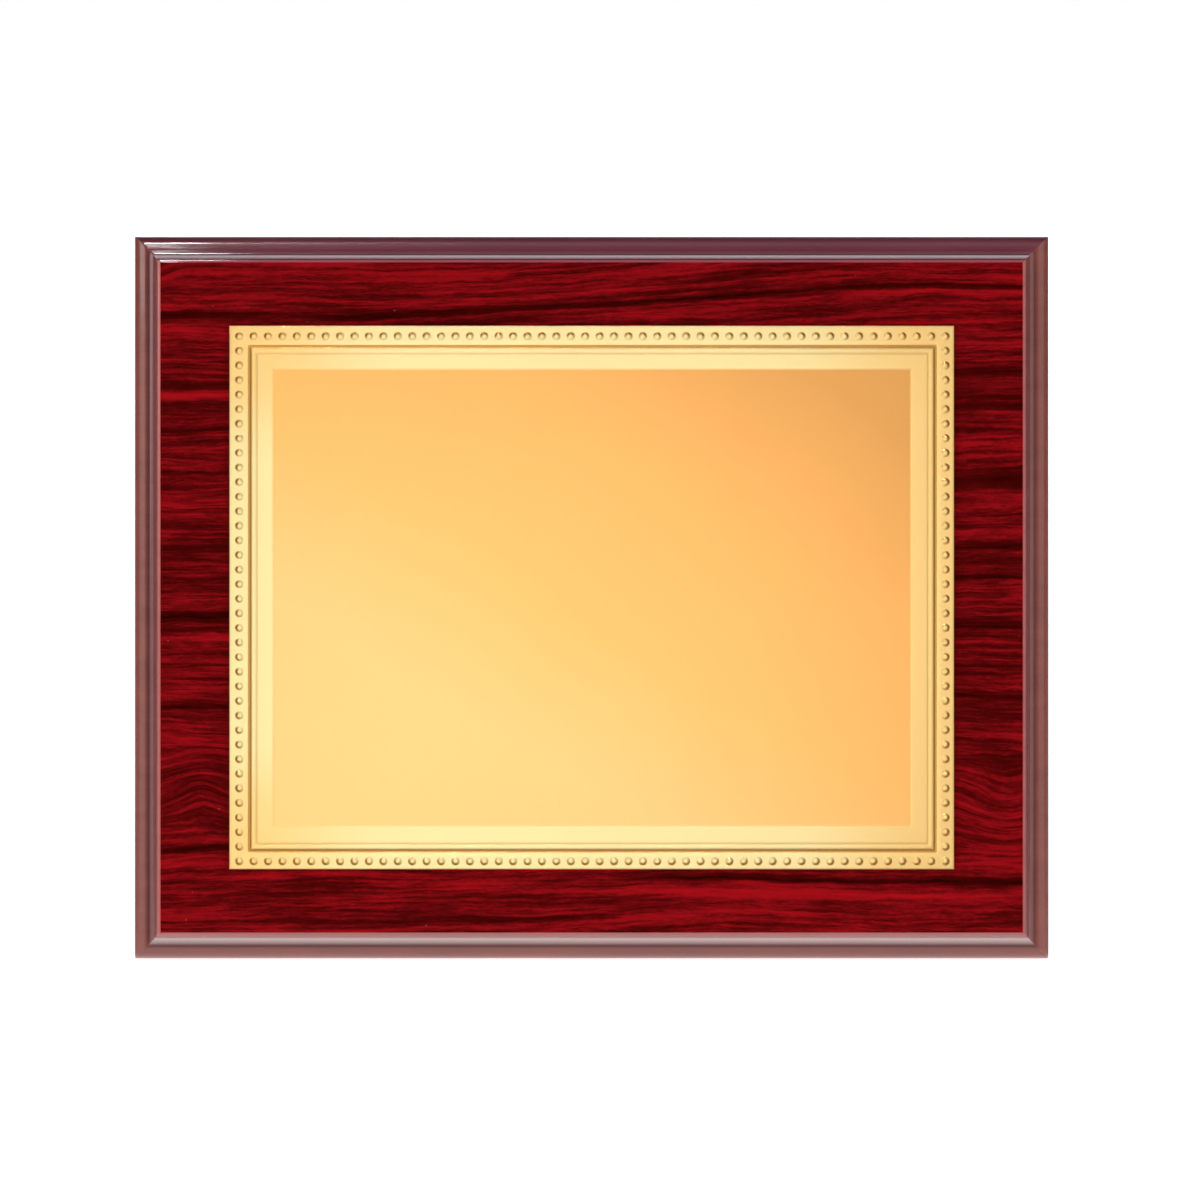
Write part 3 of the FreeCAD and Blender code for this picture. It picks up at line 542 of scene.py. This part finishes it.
def moulded_board():
    """The routed board, its mitres just eased, with the hanger recesses in its back."""
    mitre_ease, sharp_ease, turn_steps, support = 0.4, 0.02, 6, 0.25
    section = arc((BACK_ROUND, -BACK_ROUND), BACK_ROUND, 90, 180, 5)
    section += arc((SIDE_ROUND, SIDE_ROUND + COVE + STEP + ARRIS - THICK), SIDE_ROUND, 180, 270, 16)
    section += arc((LEDGE_END, ARRIS + STEP - THICK), COVE, 90, 0, 12)
    section += arc((SHEET_INSET, -THICK + ARRIS), ARRIS, 180, 270, 8)
    bm = bmesh.new()

    def ring(inset, depth, ease):
        outline = ring_points(HALF_WIDTH - inset, HALF_HEIGHT - inset, ease, turn_steps, support)
        return [bm.verts.new((x, depth, z)) for x, z in outline]

    def border(points):
        """Edges of a closed ring."""
        return [bm.edges.get((a, b)) for a, b in zip(points, points[1:] + points[:1])]

    rings = []
    for inset, depth in section:
        ease = mitre_ease
        if inset > COVE_END - 0.1:
            ease = max(sharp_ease, mitre_ease * (SHEET_INSET - inset) / ARRIS)
        rings.append(ring(inset, depth, ease))
    rings.append(ring(SHEET_INSET, SHEET_BACK, sharp_ease))
    for first, second in zip(rings, rings[1:]):
        bridge(bm, first, second)
    bm.faces.new(rings[-1])
    back = border(rings[0])
    # Each recess is a slot from the keyhole's entry to the end of its neck.
    slot_radius, slot_run, slot_floor = 5.5, 9.0, -6.0
    for hanger in ("hanger_entry_left", "hanger_entry_right"):
        entry = BOARD.inverted() @ Vector(mounts[hanger]["pos_m"]) / MM
        outline = []
        for degrees in range(0, 360, 15):
            angle = math.radians(degrees)
            lift = slot_run if degrees <= 180 else 0
            across, up = slot_radius * math.cos(angle), slot_radius * math.sin(angle)
            outline.append((entry.x + across, entry.z + lift + up))
        mouth = [bm.verts.new((x, 0, z)) for x, z in outline]
        end = [bm.verts.new((x, slot_floor, z)) for x, z in outline]
        bridge(bm, mouth, end)
        bm.faces.new(end)
        back += border(mouth)
    bmesh.ops.triangle_fill(bm, use_beauty=True, use_dissolve=False, edges=back)
    return finish_piece(bm, "moulded_board", "board_core", "lacquered_board", 32)


# The plate's beads: band of cells between two insets, line of middles, size, and lean off the middle.
BAND_OUT, BAND_IN, BEAD_INSET = 0.9, 4.9, 2.6
BEAD_RADIUS, BEAD_RISE, BEAD_LEAN = 1.2, 0.44, 0.26
BEADS_ACROSS, BEADS_UP, CELL_PARTS, BEAD_RINGS = 50, 37, 8, 10
# The whole pattern is pressed a little off the middle of the blank, inside its plain rim.
PRESS_X, PRESS_Z, PLAIN_RIM, EDGE_ROUND = 0.2, -0.35, 0.5, 0.25
# The pressed lines, from the beads inwards: groove, ridge, fine line and sunk field, each point with
# its inset, rise and darkening: patina in the groove and fine line, painted shadow along the field's edge.
PRESSED_LINES = [
    (BAND_IN, 0.0, 0.0),
    (5.05, -0.08, 0.4),
    (5.2, -0.20, 0.8),
    (5.4, -0.24, 0.9),
    (5.6, -0.16, 0.85),
    (5.8, 0.0, 0.5),
    (6.0, 0.10, 0.05),
    (6.25, 0.15, 0.0),
    (6.55, 0.16, 0.0),
    (6.85, 0.13, 0.0),
    (7.05, 0.07, 0.0),
    (7.25, -0.02, 0.2),
    (7.4, -0.07, 0.35),
    (7.55, -0.05, 0.25),
    (7.7, 0.0, 0.0),
    (7.9, 0.0, 0.0),
    (11.7, 0.0, 0.0),
    (11.9, -0.01, 0.0),
    (12.1, -0.09, 0.12),
    (12.3, -0.10, 0.06),
    (13.0, -0.10, 0.0),
]


def bead_rise(share):
    """Height of a bead at a share of its radius: a dome with a soft foot."""
    return BEAD_RISE * (1 - share * share) ** 1.35 * (1 + 0.35 * share * share)


def bead_shade(share, outward):
    """Painted shade on a bead: on its slope, where it faces out of the plate, and none on its top."""
    if share <= 0.16:
        return 0.0
    facing = min(1.0, max(0.0, outward + 0.25) / 0.9)
    slope = max(0.0, math.sin(math.pi * min(1.0, 1.25 * share - 0.2)))
    return 0.9 * (facing * slope ** 0.6)


def embossed_plate():
    """The gold plate: beaded edge, pressed lines and a sunk field, in one skin."""
    bm = bmesh.new()
    # Darkening on each vertex: patina in the pressed lines, painted shade on the beads, and painted shadow
    # at the field's edge.
    patina_and_shade = bm.verts.layers.float.new("patina_and_shade")
    known = {}

    def point(x, z, rise, dark=0.0, pressed=True):
        """The one vertex at a place on the plate's face."""
        key = (round(x, 4), round(z, 4), round(rise, 4))
        if key not in known:
            off_x, off_z = (PRESS_X, PRESS_Z) if pressed else (0, 0)
            known[key] = bm.verts.new((x + off_x, PLATE_FACE - rise, z + off_z))
            known[key][patina_and_shade] = dark
        return known[key]

    hx, hz = PLATE_HALF_WIDTH, PLATE_HALF_HEIGHT
    line_x, line_z = hx - BEAD_INSET, hz - BEAD_INSET
    out_x, out_z, in_x, in_z = hx - BAND_OUT, hz - BAND_OUT, hx - BAND_IN, hz - BAND_IN

    def cell(x0, x1, z0, z1, cx, cz):
        """One bead and the flat metal round it."""
        corners = ((x0, z0), (x1, z0), (x1, z1), (x0, z1))
        edge = []
        for (ax, az), (bx, bz) in zip(corners, corners[1:] + corners[:1]):
            edge += [
                (ax + (bx - ax) * i / CELL_PARTS, az + (bz - az) * i / CELL_PARTS)
                for i in range(CELL_PARTS)
            ]
        outward = Vector((cx, cz)).normalized()
        last = [point(x, z, 0) for x, z in edge]
        angles = [math.atan2(z - cz, x - cx) for x, z in edge]
        for step in range(BEAD_RINGS):
            share = 1.05 if step == 0 else 1 - (step - 1) / (BEAD_RINGS - 1)
            flat = min(share, 1.0)
            lean = BEAD_LEAN * (1 - flat)
            here = []
            for angle in angles:
                way = Vector((math.cos(angle), math.sin(angle)))
                x = cx + outward.x * lean + way.x * BEAD_RADIUS * share
                z = cz + outward.y * lean + way.y * BEAD_RADIUS * share
                here.append(point(x, z, bead_rise(flat), bead_shade(flat, way.dot(outward))))
            bridge(bm, last, here)
            last = here
        top = point(cx + outward.x * BEAD_LEAN, cz + outward.y * BEAD_LEAN, BEAD_RISE)
        for i, vertex in enumerate(last):
            bm.faces.new((vertex, last[(i + 1) % len(last)], top))

    def stations(half, line, count):
        """Bead middles and cell borders along one side, between the corner cells."""
        pitch, inner = 2 * line / (count - 1), half - BAND_IN
        middles = [-line + pitch * i for i in range(1, count - 1)]
        borders = [-inner] + [m + pitch / 2 for m in middles[:-1]] + [inner]
        return middles, borders

    x_middles, x_borders = stations(hx, line_x, BEADS_ACROSS)
    z_middles, z_borders = stations(hz, line_z, BEADS_UP)
    for sign in (1, -1):
        for i, middle in enumerate(x_middles):
            low, high = sorted((sign * in_z, sign * out_z))
            cell(x_borders[i], x_borders[i + 1], low, high, middle, sign * line_z)
        for i, middle in enumerate(z_middles):
            low, high = sorted((sign * in_x, sign * out_x))
            cell(low, high, z_borders[i], z_borders[i + 1], sign * line_x, middle)
        for side in (1, -1):
            x_low, x_high = sorted((side * in_x, side * out_x))
            z_low, z_high = sorted((sign * in_z, sign * out_z))
            cell(x_low, x_high, z_low, z_high, side * line_x, sign * line_z)

    def along(ends):
        """Points along one side, each cell's parts in turn."""
        run = []
        for a, b in zip(ends, ends[1:]):
            run += [a + (b - a) * i / CELL_PARTS for i in range(CELL_PARTS)]
        return run

    def loop(profile, xs, zs, base_x, base_z):
        """A rectangle of points that keeps the spacing of the ring it grew from."""
        inset, rise, dark = profile
        half_x, half_z = hx - inset, hz - inset
        kx, kz = half_x / base_x, half_z / base_z
        corners = [(x * kx, -half_z) for x in xs] + [(half_x, z * kz) for z in zs]
        corners += [(-x * kx, half_z) for x in xs] + [(-half_x, -z * kz) for z in zs]
        pressed = half_x < hx - PLAIN_RIM
        return [point(x, z, rise, dark, pressed) for x, z in corners]

    def skin(profiles, *spacing):
        """Rings joined from first to last, and the last one closed."""
        rings = [loop(profile, *spacing) for profile in profiles]
        for first, second in zip(rings, rings[1:]):
            bridge(bm, first, second)
        bm.faces.new(rings[-1])

    skin(PRESSED_LINES, along(x_borders), along(z_borders), in_x, in_z)
    rim = [(BAND_OUT, 0.0, 0.0)]
    for degrees in (0, 22, 45, 67, 90):
        angle = math.radians(degrees)
        inset = EDGE_ROUND - EDGE_ROUND * math.sin(angle)
        rim.append((inset, EDGE_ROUND * math.cos(angle) - EDGE_ROUND, 0.0))
    rim += [(0.0, 0.1 - PLATE_THICK, 0.0), (0.05, -PLATE_THICK, 0.0)]
    x_ends, z_ends = [-out_x] + x_borders + [out_x], [-out_z] + z_borders + [out_z]
    skin(rim, along(x_ends), along(z_ends), out_x, out_z)
    return finish_piece(bm, "embossed_plate", "gold_plate", "gold", 50)


moulded_board()
plate = embossed_plate()

# ---------------------------------------------------------------------------------------------
# Studio: pale floor, soft lights and a camera square to the board's face
# ---------------------------------------------------------------------------------------------
scene = bpy.context.scene
scene.view_settings.view_transform = "Standard"


def floor():
    """Plain pale floor. It glows to the camera only, and so is white there, with a faint contact shadow."""
    mesh = bpy.data.meshes.new("floor")
    reach, camera_glow = 8.0, 0.95
    corners = [(-reach, -reach, 0), (reach, -reach, 0), (reach, reach, 0), (-reach, reach, 0)]
    mesh.from_pydata(corners, [], [(0, 1, 2, 3)])
    piece = bpy.data.objects.new("floor", mesh)
    scene.collection.objects.link(piece)
    s = Shader("floor_white")
    grain = s.noise(s.place(), 0.002, 2)
    path = s.tree.nodes.new("ShaderNodeLightPath")
    glow = s.math("MULTIPLY", path.outputs["Is Camera Ray"], camera_glow)
    mesh.materials.append(
        s.finish(
            Base_Color=s.ramp(grain, [(0.3, 0.84), (0.7, 0.86)]),
            Roughness=0.8,
            Specular_IOR_Level=0.1,
            Emission_Color=(1, 1, 1),
            Emission_Strength=glow,
        )
    )


def area_light(name, spot, target, size, radiance, only=None, without=None, sheen_only=False):
    """Soft rectangular light at a spot, facing a target, so many times as bright as white.

    It may light only one piece, or all but one, or show in reflections alone.
    """
    data = bpy.data.lights.new(name, "AREA")
    data.shape = "RECTANGLE"
    data.size, data.size_y = size
    data.energy = radiance * math.pi * size[0] * size[1]
    light = bpy.data.objects.new(name, data)
    scene.collection.objects.link(light)
    light.location = spot
    light.rotation_euler = (Vector(target) - Vector(spot)).to_track_quat("-Z", "Y").to_euler()
    light.visible_camera = False
    light.visible_diffuse = not sheen_only
    if only or without:
        group = bpy.data.collections.new(name + "_lit")
        group.objects.link(only or without)
        if without:
            group.collection_objects[0].light_linking.link_state = "EXCLUDE"
        light.light_linking.receiver_collection = group


def studio_world():
    """White to the camera. In reflections nearly black, and quite black round the camera's direction."""
    dim, dark_edge, dark_core = 0.015, math.cos(math.radians(30)), math.cos(math.radians(11))
    world = bpy.data.worlds.new("studio")
    scene.world = world
    world.use_nodes = True
    tree = world.node_tree
    background = tree.nodes["Background"]
    background.inputs["Color"].default_value = (1, 1, 1, 1)
    path = tree.nodes.new("ShaderNodeLightPath")
    coordinates = tree.nodes.new("ShaderNodeTexCoord").outputs["Generated"]
    dot = tree.nodes.new("ShaderNodeVectorMath")
    dot.operation = "DOT_PRODUCT"
    tree.links.new(coordinates, dot.inputs[0])
    dot.inputs[1].default_value = FRONT
    zone = tree.nodes.new("ShaderNodeMapRange")
    zone.interpolation_type = "SMOOTHSTEP"
    tree.links.new(dot.outputs["Value"], zone.inputs["Value"])
    for name, value in (("From Min", dark_edge), ("From Max", dark_core), ("To Min", dim), ("To Max", 0.0)):
        zone.inputs[name].default_value = value
    strength = tree.nodes.new("ShaderNodeMix")
    tree.links.new(path.outputs["Is Camera Ray"], strength.inputs[0])
    tree.links.new(zone.outputs["Result"], strength.inputs[2])
    strength.inputs[3].default_value = 1.0
    tree.links.new(strength.outputs[0], background.inputs["Strength"])


def camera():
    """Long lens, square to the board's face, aimed a little right of its middle and below it."""
    data = bpy.data.cameras.new("camera")
    view_width, aim_x, aim_z = 331.2 * MM, 2.3 * MM, -0.70 * MM
    distance = 2.2
    data.lens = data.sensor_width * distance / view_width
    piece = bpy.data.objects.new("camera", data)
    scene.collection.objects.link(piece)
    target = BOARD @ Vector((aim_x, FACE, aim_z))
    axes = Matrix((RIGHT, UP, FRONT)).transposed()
    piece.matrix_world = Matrix.Translation(target + FRONT * distance) @ axes.to_4x4()
    scene.camera = piece


def around(side, rise, distance, across=0.0):
    """A spot in front of the face: degrees to the right of its middle and up, and metres away.

    Across moves both the spot and the middle it is seen from, in millimetres to the right.
    """
    side, rise = math.radians(side), math.radians(rise)
    level = FRONT * math.cos(side) * math.cos(rise) + RIGHT * math.sin(side) * math.cos(rise)
    return BOARD @ Vector((across * MM, FACE, 0)) + (level + UP * math.sin(rise)) * distance


floor()
studio_world()
camera()
face_middle = around(0, 0, 0)
area_light("left_box", around(-56, 0, 0.9), face_middle, (0.8, 1.5), 1.5, without=plate)
area_light("left_upper", around(-56, 14, 0.9), face_middle, (0.7, 0.3), 1.8, without=plate, sheen_only=True)
area_light("right_box", around(56, 0, 0.9), face_middle, (0.8, 1.5), 1.3, without=plate)
area_light("top_box", around(0, 52, 1.0), face_middle, (1.4, 0.6), 0.62, without=plate)
# Two bright lights, small and narrow, above the left side: glare in the lacquer near the top left corner.
for name, across, rise, size, radiance in (
    ("corner_glint", -151, 60, (0.03, 0.06), 90.0),
    ("corner_flare", -161, 37, (0.006, 0.64), 26.0),
):
    spot, facing = around(0, rise, 0.8, across), around(0, 0, 0, across)
    area_light(name, spot, facing, size, radiance, sheen_only=True)
# Light thrown up by the table in front of the plaque, as two sheets just above it.
table_size, table_up = (1.6, 1.44), (0, -0.75, 1.0)
area_light("table_glow", (0, -0.75, 0.0008), table_up, table_size, 1.0, without=plate)
area_light("table_sheen", (0, -0.75, 0.0009), table_up, table_size, 0.7, without=plate, sheen_only=True)
area_light("low_card", around(0, -17, 1.3), face_middle, (1.8, 0.40), 0.9, without=plate, sheen_only=True)
# The plate's own lights, which keep its satin gold even.
area_light("plate_panel", around(-2, -2, 0.22), around(-2, -2, 0), (0.27, 0.23), 0.78, only=plate)
area_light("plate_fill", around(0, 0, 0.9), face_middle, (2.6, 2.6), 0.6, only=plate)
area_light("plate_low", around(-36, -34, 0.34), around(0, 0, 0, -30), (0.30, 0.24), 0.9, only=plate)
area_light("back_box", around(180, 28, 1.1, 200), face_middle, (1.2, 1.0), 2.2)
